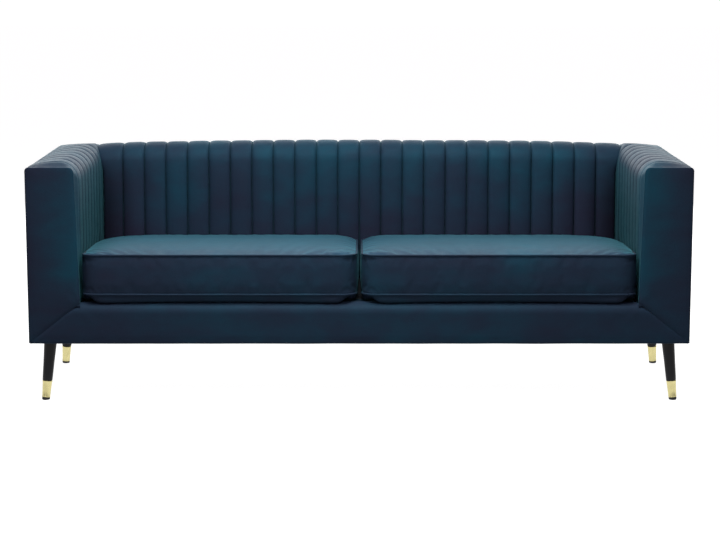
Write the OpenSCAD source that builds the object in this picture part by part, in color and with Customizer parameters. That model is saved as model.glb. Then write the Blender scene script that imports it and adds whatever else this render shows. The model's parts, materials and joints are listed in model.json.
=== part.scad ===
// Three-seat channel-back sofa: wooden frame, sprung seat, foam and velvet covers,
// two loose seat cushions and four screwed-on tapered legs.
// The front faces -Y, the width runs along X, and the legs stand on Z = 0.

/* [Overall] */
// Width over the outside of both arms
sofa_w = 2120; // [1900:10:2300]
// Depth from the front face to the outside back
sofa_d = 810; // [790:5:860]
// Height of the top of the back
sofa_h = 780; // [770:5:820]
// Height of the top of the arms
arm_h = 775; // [765:5:780]
// Clear height under the upholstered base
base_z = 191; // [170:1:210]

/* [Upholstery] */
// Thickness of one arm, over its covers
arm_t = 169; // [160:1:180]
// Radius of the padded inner shoulder of arms and back
shoulder_r = 66; // [50:1:70]
// Radius of the outer top edges
edge_r = 22; // [12:1:26]
// Thickness of a fabric cover
skin = 2; // [1:0.5:3]
// Distance from the front face to the inside back at seat level
seat_depth = 600; // [590:1:610]
// Backward lean of the inside back, in degrees
back_rake = 3.4; // [2:0.1:4]

/* [Seat] */
// Height of the front edge of the seat deck
deck_z = 323; // [318:1:330]
// Fall of the seat towards the back, in degrees
deck_slope = 2.2; // [1.5:0.1:2.4]
// Thickness of a seat cushion's boxed body
cushion_h = 160; // [140:1:170]
// Corner radius of a cushion seen from above
cushion_r = 35; // [20:1:50]
// Diameter of the cushion welts
welt_d = 8; // [6:0.5:10]
// Number of zigzag springs
spring_count = 12; // [8:2:14]

/* [Legs] */
// Leg diameter at the top
leg_top_d = 39; // [34:1:42]
// Leg diameter where the ferrule starts
leg_mid_d = 32; // [28:1:34]
// Ferrule diameter at the bottom
leg_foot_d = 26; // [22:1:27]
// Height of the ferrule's top edge
ferrule_top = 61; // [50:1:70]
// Height of the glide under the ferrule
glide_h = 8; // [5:1:10]
// Distance of a front foot's centre behind the front face
front_foot_y = 36; // [34:1:45]
// Distance of a rear foot's centre behind the front face
rear_foot_y = 603; // [595:1:610]

/* [Hidden] */

right = 1;
left = -1;
half_w = sofa_w / 2;
front_y = -sofa_d / 2;
rear_y = sofa_d / 2;
arm_in_x = half_w - arm_t;
wood_z = base_z + 4;            // underside of the wooden frame
frame_top_z = arm_h - 30;       // top of the wooden frame, under the top padding
seat_back_y = front_y + seat_depth;

// Wooden arm frame: its inner and outer faces, and the padding in front of it
arm_frame_in = half_w - 105;
arm_frame_out = half_w - 8;
board_t = 6;
rail_t = 25;
post_front_y = front_y + 8;
post_t = 24;
back_frame_y = rear_y - 98;     // front face of the back frame
back_frame_end = rear_y - 8;
rail_front_y = front_y + 18;
arm_pad_z = 312;                // lower edge of the arm padding
back_pad_z = 303;               // lower edge of the back padding
web_t = 2;
corner_r = 10;                  // inner top edge of the arms beside the back's crown

// Springs, in the tilted frame of the seat deck
felt_t = 6;
wire_t = 4;
spring_y0 = 24;
spring_y1 = 638;
spring_swing = 22;
spring_pitch = 44;
clip_h = 8;
clip_wall = 4.6;                // from the end of the wire to the back of its clip
rear_rail_y = front_y + 617;
front_rail_top = deck_z - 16;
rear_rail_top = deck_z - 39.5;
side_rail_z = wood_z + 40;      // side rails lie on the corner blocks

// Cushions
gap = 1.5;                      // half of the gap between the two cushions
cushion_lift = 0.3;             // clearance over the deck
cushion_in_x = gap + welt_d;
cushion_out_x = arm_in_x - 2.5 - welt_d;
cushion_front = 4 + welt_d;
cushion_back = seat_depth - 12;
welt_z = [27, 153];
zip_l = 740;
zip_z = 90;
zip_slot_h = 12;

// Legs: where each foot stands, and where its top meets the base
leg_top_z = base_z;
front_foot = [half_w - 44, front_y + front_foot_y];
front_top = [half_w - 61, front_y + front_foot_y + 20];
rear_foot = [half_w - 25, front_y + rear_foot_y];
rear_top = [half_w - 40, front_y + rear_foot_y - 14];
LEGS = [[left, front_foot, front_top], [right, front_foot, front_top],
    [left, rear_foot, rear_top], [right, rear_foot, rear_top]];
ferrule_wall = 1.2;
plate_s = 56;
plate_t = wood_z - base_z;
screw_at = 18;
bolt_r = 4;
screw_r = 2;

velvet = [0.13, 0.24, 0.31];
foam_col = [0.93, 0.9, 0.78];
wood_col = [0.76, 0.6, 0.42];
steel_col = [0.6, 0.62, 0.65];

// ---------- helpers ----------

// A box given by its low and high corners
module block(lo, hi) {
    translate(lo) cube(hi - lo);
}

// The same shape on the right side (side 1) or mirrored to the left (side -1)
module sided(side) {
    if (side > 0) children();
    else mirror([1, 0, 0]) children();
}

// Turns an XZ outline into a solid that runs along Y from y0 to y1
module along_y(y0, y1) {
    translate([0, y1, 0]) rotate([90, 0, 0]) linear_extrude(y1 - y0) children();
}

// Turns a YZ outline into a solid that runs along X from x0 to x1
module along_x(x0, x1) {
    translate([x0, 0, 0]) rotate([90, 0, 90]) linear_extrude(x1 - x0) children();
}

// Places children in the frame of the sloping seat deck, whose front edge is y = z = 0
module on_deck() {
    translate([0, front_y, deck_z]) rotate([-deck_slope, 0, 0]) children();
}

// ---------- upholstery outlines ----------

// Arm seen from the front: inner shoulder of radius r_in, small outer edge, shrunk by inset
module arm_outline(inset, z0, r_in = shoulder_r) {
    x0 = arm_in_x + inset;
    x1 = half_w - inset;
    z1 = arm_h - inset;
    r0 = r_in - inset;
    r1 = edge_r - inset;
    translate([x0 + r0, z0]) square([x1 - r1 - x0 - r0, z1 - z0]);
    translate([x0, z0]) square([r0, z1 - r0 - z0]);
    translate([x1 - r1, z0]) square([r1, z1 - r1 - z0]);
    translate([x0 + r0, z1 - r0]) circle(r = r0, $fn = 96);
    translate([x1 - r1, z1 - r1]) circle(r = r1, $fn = 64);
}

// Points on a round corner, from angle a0 to angle a1
function arc(centre, r, a0, a1, n = 12) =
    [for (i = [0:n]) let (a = a0 + (a1 - a0) * i / n) centre + r * [cos(a), sin(a)]];

// Centre of the back's padded shoulder, in Y and Z
shoulder_z = sofa_h - shoulder_r;
crown_y = seat_back_y + (shoulder_z - back_pad_z) * tan(back_rake)
    + shoulder_r / cos(back_rake);

// Back seen from the side: leaning inner face, large shoulder, small rear edge
module back_outline(inset, z0) {
    foot_y = seat_back_y + inset / cos(back_rake) + (z0 - back_pad_z) * tan(back_rake);
    polygon(concat([[foot_y, z0]],
        arc([crown_y, shoulder_z], shoulder_r - inset, 180 - back_rake, 90),
        arc([rear_y - edge_r, sofa_h - edge_r], edge_r - inset, 90, 0),
        [[rear_y - inset, z0]]));
}

// Right arm from y0 to y1. Its inner shoulder ends where the back's crown meets it
module arm_slab(inset, y0, y1, z0) {
    along_y(y0, crown_y) arm_outline(inset, z0);
    along_y(crown_y, y1) arm_outline(inset, z0, corner_r);
}

module back_slab(inset) {
    along_x(-arm_in_x, arm_in_x) back_outline(inset, back_pad_z);
}

// Front face of the base below the seat, mitred into the arm panels
module border_outline(z0) {
    polygon([[-half_w, z0], [half_w, z0], [arm_in_x, deck_z], [-arm_in_x, deck_z]]);
}

// ---------- wooden frame ----------

module front_rail() {
    color(wood_col)
    block([-arm_frame_in, rail_front_y, wood_z],
        [arm_frame_in, rail_front_y + rail_t, front_rail_top]);
}

module seat_rear_rail() {
    color(wood_col)
    block([-arm_frame_out, rear_rail_y, wood_z],
        [arm_frame_out, rear_rail_y + rail_t, rear_rail_top]);
}

module side_rail(side) {
    color(wood_col)
    sided(side)
    difference() {
        block([arm_frame_out - rail_t, post_front_y + post_t, side_rail_z],
            [arm_frame_out, back_frame_y, side_rail_z + 70]);
        block([arm_frame_out - rail_t - 1, rear_rail_y, side_rail_z - 1],
            [arm_frame_out + 1, rear_rail_y + rail_t, rear_rail_top]);
    }
}

module cross_rails() {
    color(wood_col)
    for (x = [-450, 0, 450])
        block([x - rail_t / 2, rail_front_y + rail_t, wood_z + 5],
            [x + rail_t / 2, rear_rail_y, wood_z + 65]);
}

module corner_blocks() {
    color(wood_col)
    difference() {
        for (side = [left, right])
            sided(side) {
                block([arm_frame_in + 2, post_front_y + post_t, wood_z],
                    [arm_frame_out, post_front_y + post_t + 70, side_rail_z]);
                block([arm_frame_in + 2, rear_rail_y - 70, wood_z],
                    [arm_frame_out, rear_rail_y, side_rail_z]);
            }
        fixings();
    }
}

module arm_front_post(side) {
    color(wood_col)
    sided(side)
    block([arm_frame_in, post_front_y, wood_z],
        [arm_frame_out, post_front_y + post_t, frame_top_z]);
}

module arm_top_rail(side) {
    color(wood_col)
    sided(side)
    block([arm_frame_in, post_front_y + post_t, frame_top_z - post_t],
        [arm_frame_out, back_frame_y, frame_top_z]);
}

module back_post(side) {
    color(wood_col)
    sided(side)
    block([arm_frame_in, back_frame_y, wood_z],
        [arm_frame_out, back_frame_end, frame_top_z]);
}

module back_uprights() {
    color(wood_col)
    for (x = [-320, 320])
        block([x - 16, back_frame_y + rail_t, wood_z],
            [x + 16, back_frame_end, frame_top_z - post_t]);
}

module back_top_rail() {
    color(wood_col)
    block([-arm_frame_in, back_frame_y, frame_top_z - post_t],
        [arm_frame_in, back_frame_end, frame_top_z]);
}

module back_lower_rail() {
    color(wood_col)
    block([-arm_frame_in, back_frame_y, back_pad_z],
        [arm_frame_in, back_frame_y + rail_t, back_pad_z + 70]);
}

// ---------- boards ----------

module outside_arm_board(side) {
    color([0.5, 0.38, 0.26])
    sided(side)
    block([arm_frame_out, post_front_y, base_z],
        [arm_frame_out + board_t, back_frame_end, frame_top_z]);
}

module inside_arm_board(side) {
    color([0.5, 0.38, 0.26])
    sided(side)
    block([arm_frame_in - 5, post_front_y, arm_pad_z],
        [arm_frame_in, back_frame_y, frame_top_z]);
}

module outside_back_board() {
    color([0.5, 0.38, 0.26])
    block([-half_w + skin, back_frame_end, base_z],
        [half_w - skin, back_frame_end + board_t, frame_top_z]);
}

// ---------- springs and webbing ----------

// Side to side swing of the wire along a spring
function swing(y) = spring_swing * sin(360 * (y - spring_y0) / spring_pitch);
function swing_slope(y) = spring_swing * 2 * PI / spring_pitch
    * cos(360 * (y - spring_y0) / spring_pitch);

// Point beside the wire's centre line, at distance d
function wire_edge(y, d) =
    let (s = swing_slope(y), n = sqrt(1 + s * s))
    [swing(y) + d / n, y - d * s / n];

module zigzag_spring() {
    steps = 8 * round((spring_y1 - spring_y0) / spring_pitch);
    ys = [for (i = [0:steps]) spring_y0 + (spring_y1 - spring_y0) * i / steps];
    one_side = [for (y = ys) wire_edge(y, wire_t / 2)];
    other_side = [for (i = [steps:-1:0]) wire_edge(ys[i], -wire_t / 2)];
    linear_extrude(wire_t) polygon(concat(one_side, other_side));
}

// Distance between neighbouring springs, and the place of spring i
spring_step = 2 * (arm_in_x - 60) / (spring_count - 1);
function spring_x(i) = (i - (spring_count - 1) / 2) * spring_step;

module seat_springs() {
    color(steel_col)
    on_deck()
    for (i = [0:spring_count - 1])
        translate([spring_x(i), 0, -felt_t - 2 - wire_t]) zigzag_spring();
}

// A folded clip that holds a spring's end, open towards the spring
module spring_clip() {
    difference() {
        translate([-12, 0, 0]) cube([24, 16, clip_h]);
        translate([-13, 2, 2]) cube([26, 15, wire_t]);
    }
}

module spring_clips() {
    color([0.25, 0.25, 0.27])
    on_deck()
    for (i = [0:spring_count - 1])
        translate([spring_x(i), 0, -felt_t - clip_h]) {
            translate([0, spring_y0 - clip_wall, 0]) spring_clip();
            translate([0, spring_y1 + clip_wall, 0]) mirror([0, 1, 0]) spring_clip();
        }
}

module back_webbing() {
    color([0.2, 0.2, 0.2])
    for (i = [-5:5])
        block([i * 160 - 25, back_frame_y - web_t, back_pad_z + 10],
            [i * 160 + 25, back_frame_y, frame_top_z - 4]);
}

module seat_deck() {
    color([0.15, 0.15, 0.17])
    on_deck()
    translate([-arm_in_x + 1, 20, -felt_t]) cube([2 * arm_in_x - 2, 632, felt_t]);
}

// ---------- foam ----------

module back_foam() {
    color(foam_col)
    difference() {
        back_slab(skin);
        block([-half_w, back_frame_y - web_t, back_pad_z - 10],
            [half_w, rear_y, frame_top_z]);
    }
}

module arm_foam(side) {
    color(foam_col)
    sided(side)
    difference() {
        arm_slab(skin, front_y + skin, rear_y - skin, base_z);
        block([arm_frame_in - 5, post_front_y, base_z - 1],
            [half_w, rear_y, frame_top_z]);
        block([0, post_front_y, base_z - 1], [half_w, rear_y, arm_pad_z]);
        block([0, back_frame_y, base_z - 1], [half_w, rear_y, frame_top_z]);
    }
}

module front_rail_foam() {
    color(foam_col)
    block([-arm_in_x, front_y + skin, base_z], [arm_in_x, rail_front_y, deck_z - 4]);
}

// ---------- covers ----------

module inside_back_cover() {
    color(velvet)
    difference() {
        back_slab(0);
        along_x(-half_w, half_w) back_outline(skin, back_pad_z - 10);
        block([-half_w, back_frame_y, back_pad_z - 20], [half_w, rear_y + 1, frame_top_z]);
    }
}

module inside_arm_cover(side) {
    color(velvet)
    sided(side)
    difference() {
        arm_slab(0, front_y + skin, rear_y, arm_pad_z);
        arm_slab(skin, front_y - 1, rear_y - skin, arm_pad_z - 1);
        block([half_w - 50, front_y, arm_pad_z - 1], [half_w + 1, rear_y + 1, frame_top_z]);
        block([0, back_frame_y, arm_pad_z - 1], [half_w + 1, rear_y + 1, frame_top_z]);
    }
}

module arm_front_panel(side) {
    color(velvet)
    sided(side)
    along_y(front_y, front_y + skin)
    difference() {
        arm_outline(0, base_z);
        border_outline(base_z);
    }
}

module outside_arm_cover(side) {
    color(velvet)
    sided(side)
    block([half_w - skin, front_y + skin, base_z], [half_w, rear_y - skin, frame_top_z]);
}

module outside_back_cover() {
    color(velvet)
    block([-half_w, rear_y - skin, base_z], [half_w, rear_y, frame_top_z]);
}

module front_border() {
    color(velvet)
    along_y(front_y, front_y + skin) border_outline(base_z);
}

module dust_cover() {
    color([0.1, 0.1, 0.11])
    difference() {
        block([-half_w + 10, rail_front_y, wood_z - 1], [half_w - 10, rear_y - 10, wood_z]);
        for (leg = LEGS)
            translate([leg[0] * leg[2][0], leg[2][1], wood_z])
                cube([plate_s + 2, plate_s + 2, 6], center = true);
    }
}

// ---------- seat cushions ----------

// Rounded rectangle, from the low corner to the high corner
module rounded(lo, hi, r) {
    translate([lo[0] + r, lo[1]]) square([hi[0] - lo[0] - 2 * r, hi[1] - lo[1]]);
    translate([lo[0], lo[1] + r]) square([hi[0] - lo[0], hi[1] - lo[1] - 2 * r]);
    for (x = [lo[0] + r, hi[0] - r])
        for (y = [lo[1] + r, hi[1] - r])
            translate([x, y]) circle(r = r, $fn = 64);
}

module cushion_block(inset) {
    translate([0, 0, cushion_lift + inset])
    linear_extrude(cushion_h - 2 * inset)
    rounded([cushion_in_x + inset, cushion_front + inset],
        [cushion_out_x - inset, cushion_back - inset], cushion_r - inset);
}

module cushion_core(side) {
    color(foam_col)
    sided(side) on_deck() cushion_block(skin);
}

zip_mid_x = (cushion_in_x + cushion_out_x) / 2;

module cushion_cover(side) {
    color(velvet)
    sided(side)
    on_deck()
    difference() {
        cushion_block(0);
        cushion_block(skin);
        translate([zip_mid_x - zip_l / 2, cushion_back - skin - 1, zip_z - zip_slot_h / 2])
            cube([zip_l, skin + 2, zip_slot_h]);
    }
}

// A round cord along the cushion's edge, just outside its boxing
module welt_ring() {
    wr = welt_d / 2;
    x0 = cushion_in_x;
    x1 = cushion_out_x;
    y0 = cushion_front;
    y1 = cushion_back;
    straight_x = x1 - x0 - 2 * cushion_r;
    straight_y = y1 - y0 - 2 * cushion_r;
    for (y = [y0 - wr, y1 + wr])
        translate([x0 + cushion_r, y, 0]) rotate([0, 90, 0])
            cylinder(h = straight_x, r = wr, $fn = 24);
    for (x = [x0 - wr, x1 + wr])
        translate([x, y0 + cushion_r, 0]) rotate([-90, 0, 0])
            cylinder(h = straight_y, r = wr, $fn = 24);
    corners = [[x1 - cushion_r, y1 - cushion_r, 0], [x0 + cushion_r, y1 - cushion_r, 90],
        [x0 + cushion_r, y0 + cushion_r, 180], [x1 - cushion_r, y0 + cushion_r, 270]];
    for (c = corners)
        translate([c[0], c[1], 0]) rotate([0, 0, c[2]])
            rotate_extrude(angle = 90, $fn = 96)
                translate([cushion_r + wr, 0]) circle(r = wr, $fn = 24);
}

module cushion_welts(side) {
    color(velvet)
    sided(side)
    on_deck()
    for (z = welt_z)
        translate([0, 0, z]) welt_ring();
}

// Zip let into the rear boxing, with the row of teeth standing proud
module zip(side) {
    color([0.07, 0.1, 0.13])
    sided(side)
    on_deck()
    translate([zip_mid_x - zip_l / 2, cushion_back - skin, zip_z]) {
        translate([0, 0, -zip_slot_h / 2]) cube([zip_l, skin, zip_slot_h]);
        translate([5, skin, -2]) cube([zip_l - 10, 1, 4]);
    }
}

module zip_slider(side) {
    color(steel_col)
    sided(side)
    on_deck()
    translate([zip_mid_x - zip_l / 2 + 10, cushion_back + 1.3, zip_z]) {
        translate([0, 0, -5]) cube([11, 2.2, 10]);
        translate([1, 2.2, -3]) cube([24, 1.2, 6]);
    }
}

// ---------- legs ----------

// Leans a leg from its top point to its foot point
module at_leg(leg) {
    foot = leg[1];
    top = leg[2];
    lean_x = atan((foot[0] - top[0]) / leg_top_z);
    lean_y = atan((foot[1] - top[1]) / leg_top_z);
    sided(leg[0])
    translate([top[0], top[1], leg_top_z])
    rotate([lean_y, -lean_x, 0])
    translate([0, 0, -leg_top_z])
        children();
}

// Keeps what lies between two levels
module slice(z0, z1) {
    intersection() {
        children();
        translate([-half_w, -sofa_d, z0]) cube([2 * half_w, 2 * sofa_d, z1 - z0]);
    }
}

module leg(i) {
    color([0.09, 0.09, 0.1])
    difference() {
        slice(0, leg_top_z)
            at_leg(LEGS[i])
                rotate_extrude($fn = 96)
                    polygon([[0, glide_h + 2], [leg_foot_d / 2 - ferrule_wall, glide_h + 2],
                        [leg_mid_d / 2 - ferrule_wall, ferrule_top],
                        [leg_mid_d / 2, ferrule_top], [leg_top_d / 2, leg_top_z],
                        [leg_top_d / 2, leg_top_z + 6], [0, leg_top_z + 6]]);
        at_leg(LEGS[i]) translate([0, 0, leg_top_z - 45]) cylinder(h = 60, r = bolt_r);
    }
}

module ferrule(i) {
    color([0.83, 0.7, 0.38])
    at_leg(LEGS[i])
        rotate_extrude($fn = 96)
            polygon([[0, glide_h], [leg_foot_d / 2, glide_h], [leg_mid_d / 2, ferrule_top],
                [leg_mid_d / 2 - ferrule_wall, ferrule_top],
                [leg_foot_d / 2 - ferrule_wall, glide_h + 2], [0, glide_h + 2]]);
}

module glides() {
    color([0.12, 0.12, 0.12])
    slice(0, glide_h + 5)
        for (leg = LEGS)
            at_leg(leg) translate([0, 0, -5]) cylinder(h = glide_h + 5, r = leg_foot_d / 2 - 2);
}

module leg_plates() {
    color(steel_col)
    difference() {
        for (leg = LEGS)
            translate([leg[0] * leg[2][0], leg[2][1], base_z + plate_t / 2])
                cube([plate_s, plate_s, plate_t], center = true);
        fixings();
    }
}

// Threaded stud of each leg
module studs() {
    for (leg = LEGS)
        at_leg(leg) translate([0, 0, leg_top_z - 45]) cylinder(h = 75, r = bolt_r);
}

module leg_bolts() {
    color(steel_col) studs();
}

// Countersunk-free wood screws through each plate
module screws() {
    for (leg = LEGS)
        for (dx = [-screw_at, screw_at])
            for (dy = [-screw_at, screw_at])
                translate([leg[0] * leg[2][0] + dx, leg[2][1] + dy, base_z]) {
                    cylinder(h = plate_t + 22, r = screw_r);
                    translate([0, 0, -2]) cylinder(h = 2, r = 4);
                }
}

module plate_screws() {
    color(steel_col) screws();
}

module fixings() {
    studs();
    screws();
}

$fn = 48;

front_rail();
seat_rear_rail();
side_rail(left);  // side_rail_left
side_rail(right);  // side_rail_right
cross_rails();
corner_blocks();
arm_front_post(left);  // arm_front_post_left
arm_front_post(right);  // arm_front_post_right
arm_top_rail(left);  // arm_top_rail_left
arm_top_rail(right);  // arm_top_rail_right
back_post(left);  // back_post_left
back_post(right);  // back_post_right
back_uprights();
back_top_rail();
back_lower_rail();
outside_arm_board(left);  // outside_arm_board_left
outside_arm_board(right);  // outside_arm_board_right
inside_arm_board(left);  // inside_arm_board_left
inside_arm_board(right);  // inside_arm_board_right
outside_back_board();
seat_springs();
spring_clips();
back_webbing();
seat_deck();
back_foam();
arm_foam(left);  // arm_foam_left
arm_foam(right);  // arm_foam_right
front_rail_foam();
inside_back_cover();
inside_arm_cover(left);  // inside_arm_cover_left
inside_arm_cover(right);  // inside_arm_cover_right
arm_front_panel(left);  // arm_front_panel_left
arm_front_panel(right);  // arm_front_panel_right
outside_arm_cover(left);  // outside_arm_cover_left
outside_arm_cover(right);  // outside_arm_cover_right
outside_back_cover();
front_border();
dust_cover();
cushion_core(left);  // cushion_core_left
cushion_core(right);  // cushion_core_right
cushion_cover(left);  // cushion_cover_left
cushion_cover(right);  // cushion_cover_right
cushion_welts(left);  // cushion_welts_left
cushion_welts(right);  // cushion_welts_right
zip(left);  // zip_left
zip(right);  // zip_right
zip_slider(left);  // zip_slider_left
zip_slider(right);  // zip_slider_right
leg(0);  // leg_front_left
leg(1);  // leg_front_right
leg(2);  // leg_rear_left
leg(3);  // leg_rear_right
ferrule(0);  // ferrule_front_left
ferrule(1);  // ferrule_front_right
ferrule(2);  // ferrule_rear_left
ferrule(3);  // ferrule_rear_right
glides();
leg_plates();
leg_bolts();
plate_screws();
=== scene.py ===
"""Looks of a channelled velvet sofa on wooden legs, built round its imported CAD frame.

Lengths are in metres. The front faces -Y, the width runs along X, and the feet stand on z = 0.
"""

import json
import math

import bmesh
import bpy
import numpy as np
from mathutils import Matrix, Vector, noise


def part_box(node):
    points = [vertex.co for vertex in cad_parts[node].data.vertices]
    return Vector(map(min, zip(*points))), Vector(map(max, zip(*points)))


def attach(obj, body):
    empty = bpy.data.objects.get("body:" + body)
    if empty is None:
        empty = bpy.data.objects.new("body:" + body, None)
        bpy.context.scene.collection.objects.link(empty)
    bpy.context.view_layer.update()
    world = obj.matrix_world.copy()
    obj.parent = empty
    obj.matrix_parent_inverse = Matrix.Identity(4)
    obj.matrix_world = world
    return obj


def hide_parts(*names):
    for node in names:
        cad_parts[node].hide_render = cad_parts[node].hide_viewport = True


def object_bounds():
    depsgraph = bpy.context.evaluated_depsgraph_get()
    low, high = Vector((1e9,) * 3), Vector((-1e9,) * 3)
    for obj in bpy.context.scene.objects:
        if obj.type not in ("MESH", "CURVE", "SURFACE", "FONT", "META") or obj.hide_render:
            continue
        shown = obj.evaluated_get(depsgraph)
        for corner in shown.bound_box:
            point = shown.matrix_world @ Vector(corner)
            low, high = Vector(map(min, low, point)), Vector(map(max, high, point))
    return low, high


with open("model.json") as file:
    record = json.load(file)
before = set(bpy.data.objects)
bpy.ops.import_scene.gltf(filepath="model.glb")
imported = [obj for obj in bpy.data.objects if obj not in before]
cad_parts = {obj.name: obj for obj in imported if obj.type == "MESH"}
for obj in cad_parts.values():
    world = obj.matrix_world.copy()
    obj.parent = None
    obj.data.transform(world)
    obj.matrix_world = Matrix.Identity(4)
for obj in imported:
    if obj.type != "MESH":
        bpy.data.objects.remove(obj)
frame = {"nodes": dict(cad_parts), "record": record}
cad_low, cad_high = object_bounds()

# ---------- places taken from the frame ----------

border_low, border_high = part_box("front_border")
arm_low, arm_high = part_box("inside_arm_cover_right")
back_low, back_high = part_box("inside_back_cover")

HALF_W = cad_high.x
FRONT_Y = border_low.y
REAR_Y = back_high.y
BASE_Z = border_low.z
DECK_Z = border_high.z
ARM_X = arm_low.x
ARM_TOP = arm_high.z
ARM_FOOT_Z = arm_low.z
BACK_TOP = back_high.z
BACK_FOOT_Y = back_low.y
BACK_FOOT_Z = back_low.z
SEAM_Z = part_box("outside_arm_cover_right")[1].z
CUSHION_SIDE_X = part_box("cushion_cover_right")[1].x
ARM_FACE_X = ARM_X + 0.005      # seams of the arm channels, a little under the CAD surface
ARM_END_Z = SEAM_Z + 0.001      # top of an arm at its front and rear ends
POST_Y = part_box("arm_front_post_right")[0].y
ARM_BOARD_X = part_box("inside_arm_board_right")[0].x
WEBBING_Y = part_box("back_webbing")[0].y

# ---------- shape of the upholstery ----------

SHOULDER_R = 0.064          # rounding of the arms and the back towards the seat
EDGE_R = 0.028              # rounding along the outer edge of the arms
FRONT_RISE = 0.012          # height of the top seam of an arm's front over its outer corner
ARM_DOME = 0.010            # fall of an arm's top from its crown to its outer edge
BACK_RAKE = math.radians(3.4)
CROWN_SINK = 0.0085         # how far the seams of the back's crown lie under its top
CHANNEL_W = 0.075           # back channels
CHANNELS_EACH_SIDE = 12
ARM_BAND = 0.05             # plain band behind the arm front panel
ARM_CHANNEL_W = 0.0685
ARM_CHANNELS = 10
SEAM_SLIT = 0.30            # depth of the slit at a seam, as a share of a channel's height
REAR_FALL = 1.6             # how the arms and the back curve down behind their crest: 1 is straight
DECK_SLOPE = math.radians(2.2)
CUSHION_GAP = 0.0095        # from the middle of the sofa to the boxing of a cushion
WELT_R = 0.0034
CUSHION_PLAN_R = 0.052      # rounding of a cushion's corners, seen from above
PLATE_GAP = 0.034           # half of the opening in the dust cover round a leg plate
LOWER_WELT_Z = 0.027        # heights above the deck
UPPER_WELT_Z = 0.153
CUSHION_REAR = 0.5865       # how far behind the front of the sofa a cushion ends
SIDES = ((-1, "left"), (1, "right"))


def smooth(value, low, high):
    """0 below low, 1 above high, and a smooth step in between."""
    t = np.clip((np.asarray(value, float) - low) / (high - low), 0, 1)
    return t * t * (3 - 2 * t)


def rough(points, size, seed):
    """Smooth noise from -1 to 1 at each point, with features about size across."""
    shift = Vector((seed * 7.31, seed * 3.77, seed * 5.13))
    flat = np.asarray(points, float).reshape(-1, 3) / size
    values = [noise.noise(Vector(p) + shift) for p in flat]
    return np.array(values).reshape(np.shape(points)[:-1])


# ---------- meshes ----------


def add_mesh(name, points, faces, material, body, sharp=40):
    """A smooth-shaded closed mesh with its normals facing out, riding on a CAD body."""
    mesh = bpy.data.meshes.new(name)
    mesh.from_pydata([tuple(p) for p in points], [], [tuple(f) for f in faces])
    shape = bmesh.new()
    shape.from_mesh(mesh)
    bmesh.ops.recalc_face_normals(shape, faces=shape.faces)
    shape.to_mesh(mesh)
    shape.free()
    mesh.shade_smooth()
    mesh.set_sharp_from_angle(angle=math.radians(sharp))
    mesh.materials.append(material)
    piece = bpy.data.objects.new(name, mesh)
    bpy.context.scene.collection.objects.link(piece)
    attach(piece, body)
    return piece


def grid_faces(index):
    """Quads over a grid of vertex numbers."""
    corners = (index[:-1, :-1], index[:-1, 1:], index[1:, 1:], index[1:, :-1])
    return np.stack(corners, -1).reshape(-1, 4)


def ring_faces(rings, sides):
    """Quads round a stack of rings of points, and a cap on its first and its last ring."""
    index = np.arange(rings * sides).reshape(rings, sides)
    wrapped = np.concatenate([index, index[:, :1]], axis=1)
    return grid_faces(wrapped).tolist() + [index[0].tolist(), index[-1][::-1].tolist()]


def swept(x, path):
    """A grid of points: the (y, z) points of a path, each repeated across the positions x."""
    return np.stack([x + 0 * path[:, :1], path[:, :1] + 0 * x, path[:, 1:] + 0 * x], -1)


def pad(name, outer, inner, material, body, sharp=40):
    """A closed piece between two grids of points, the outer one showing."""
    rows, columns = outer.shape[:2]
    count = rows * columns
    index = np.arange(count).reshape(rows, columns)
    rim = np.concatenate([index[0], index[1:, -1], index[-1, -2::-1], index[-2:0:-1, 0]])
    after = np.roll(rim, -1)
    sides = np.stack([rim, rim + count, after + count, after], -1)
    faces = np.concatenate([grid_faces(index), grid_faces(index)[:, ::-1] + count, sides])
    points = np.concatenate([outer.reshape(-1, 3), inner.reshape(-1, 3)])
    return add_mesh(name, points, faces, material, body, sharp)


def grid_normals(grid, outward):
    """Unit normals of a grid, on the side that outward points to at its middle."""
    across = np.gradient(grid, axis=1)
    along = np.gradient(grid, axis=0)
    normal = np.cross(across, along)
    normal /= np.maximum(np.linalg.norm(normal, axis=2, keepdims=True), 1e-12)
    middle = normal[normal.shape[0] // 2, normal.shape[1] // 2]
    return normal if np.dot(middle, outward) > 0 else -normal


def raised(grid, outward, height):
    """The grid moved along its normals by a height at each point."""
    return grid + grid_normals(grid, outward) * height[..., None]


def line(start, end, steps):
    """Points from start up to, and without, end."""
    t = np.arange(steps)[:, None] / steps
    return np.asarray(start, float) * (1 - t) + np.asarray(end, float) * t


def arc(centre, radius, start, end, steps):
    """Points on a circle from one angle to another, in degrees, without the last one."""
    angle = np.radians(start + (end - start) * np.arange(steps) / steps)
    return np.stack([centre[0] + radius * np.cos(angle), centre[1] + radius * np.sin(angle)], -1)


def spread(count):
    """Numbers from -1 to 1 that crowd together at both ends."""
    return np.sin(np.linspace(-1, 1, count + 1) * math.pi / 2)


def along_path(path, fractions):
    """Points at the given fractions of a bent line's length."""
    path = np.asarray(path, float)
    at = path_fractions(path)
    return np.stack([np.interp(fractions, at, path[:, k]) for k in range(path.shape[1])], -1)


def path_fractions(path):
    """Fraction of the whole length at each point of a bent line."""
    step = np.linalg.norm(np.diff(path, axis=0), axis=1)
    return np.concatenate([[0], np.cumsum(step)]) / step.sum()


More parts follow.
